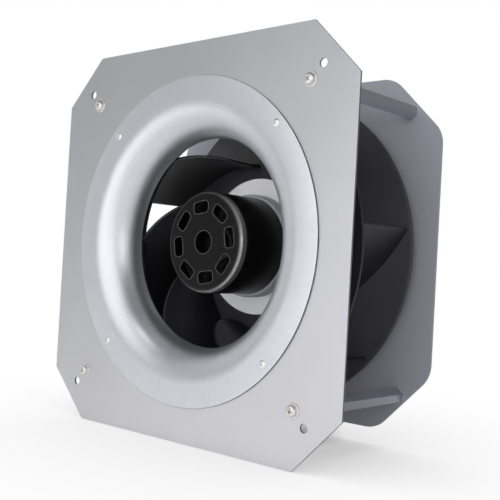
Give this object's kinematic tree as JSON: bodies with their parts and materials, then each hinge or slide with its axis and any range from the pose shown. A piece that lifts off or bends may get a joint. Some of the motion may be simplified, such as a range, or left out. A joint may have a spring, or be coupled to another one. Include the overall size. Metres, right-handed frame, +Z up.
{
  "type": "plug fan",
  "caption": "Plug fan: backward-curved impeller on an external-rotor motor between an inlet plate with a spun nozzle and a motor plate held by spacer posts.",
  "frame": {"origin": "on the fan axis, in the front face of the inlet plate, at the centre of its four mounting holes", "axes": "+Y along the fan axis from the inlet to the rear, +Z up, +X to the right as seen from the inlet"},
  "size_m": [0.4, 0.22, 0.4],
  "materials": {
    "galvanised_sheet": "galvanised, faint vertical rolling grain",
    "spun_steel": "spun, soft rings, brighter than the plate",
    "rivet_aluminium": "satin",
    "spacer_steel": "drawn bar, dull zinc",
    "zinc_fastener": "warm zinc plate",
    "rear_plate_steel": "grey, satin",
    "cast_aluminium": "die cast, matt",
    "lamination_steel": "stacked sheet",
    "insulator_plastic": "moulded",
    "copper_wire": "enamelled winding",
    "bearing_steel": "ground",
    "cage_brass": "pressed",
    "circuit_board": "solder resist",
    "capacitor_can": "sleeved can",
    "seal_rubber": "matt",
    "gland_plastic": "moulded",
    "rotor_black": "black coat, satin",
    "magnet_ferrite": "sintered",
    "collar_grey": "textured grey",
    "hub_metal": "turned face",
    "impeller_plastic": "black glass-filled, faint sheen"
  },
  "bodies": {
    "fan_frame": {"inlet_plate": "galvanised_sheet", "inlet_nozzle": "spun_steel", "nozzle_rivets": "rivet_aluminium", "spacer_post_top_right": "spacer_steel", "spacer_post_top_left": "spacer_steel", "spacer_post_bottom_left": "spacer_steel", "spacer_post_bottom_right": "spacer_steel", "front_post_screws": "zinc_fastener", "rear_post_screws": "zinc_fastener", "motor_plate": "rear_plate_steel", "motor_flange": "cast_aluminium", "motor_flange_screws": "zinc_fastener", "stator_core": "lamination_steel", "front_stator_insulator": "insulator_plastic", "rear_stator_insulator": "insulator_plastic", "stator_coils": "copper_wire", "front_bearing_outer_ring": "bearing_steel", "rear_bearing_outer_ring": "bearing_steel", "preload_washer": "bearing_steel", "control_board": "circuit_board", "board_screws": "zinc_fastener", "board_capacitors": "capacitor_can", "terminal_block": "insulator_plastic", "cover_gasket": "seal_rubber", "rear_cover": "cast_aluminium", "cover_screws": "zinc_fastener", "cable_gland": "gland_plastic", "gland_nut": "gland_plastic"},
    "rotor": {"rotor_cup": "rotor_black", "rotor_hub": "rotor_black", "rotor_shaft": "bearing_steel", "rotor_magnets": "magnet_ferrite", "front_bearing_inner_ring": "bearing_steel", "rear_bearing_inner_ring": "bearing_steel", "shaft_retaining_ring": "bearing_steel", "impeller_collar": "collar_grey", "impeller_hub_ring": "hub_metal", "impeller_back_disc": "impeller_plastic", "impeller_blade_1": "impeller_plastic", "impeller_blade_2": "impeller_plastic", "impeller_blade_3": "impeller_plastic", "impeller_blade_4": "impeller_plastic", "impeller_blade_5": "impeller_plastic", "impeller_blade_6": "impeller_plastic", "impeller_blade_7": "impeller_plastic", "impeller_shroud": "impeller_plastic"},
    "front_ball_row": {"front_bearing_balls": "bearing_steel", "front_bearing_cage": "cage_brass"},
    "rear_ball_row": {"rear_bearing_balls": "bearing_steel", "rear_bearing_cage": "cage_brass"}
  },
  "joints": [
    {"name": "impeller_spin", "type": "hinge", "parent": "fan_frame", "child": "rotor", "pos_m": [0, 0.08, 0], "axis": [0, 1, 0], "continuous": true},
    {"name": "front_balls_roll", "type": "hinge", "parent": "fan_frame", "child": "front_ball_row", "pos_m": [0, 0.052, 0], "axis": [0, 1, 0], "continuous": true},
    {"name": "rear_balls_roll", "type": "hinge", "parent": "fan_frame", "child": "rear_ball_row", "pos_m": [0, 0.108, 0], "axis": [0, 1, 0], "continuous": true}
  ],
  "couplings": [
    {"joint": "front_balls_roll", "follows": "impeller_spin", "ratio": 0.381},
    {"joint": "rear_balls_roll", "follows": "impeller_spin", "ratio": 0.381}
  ]
}
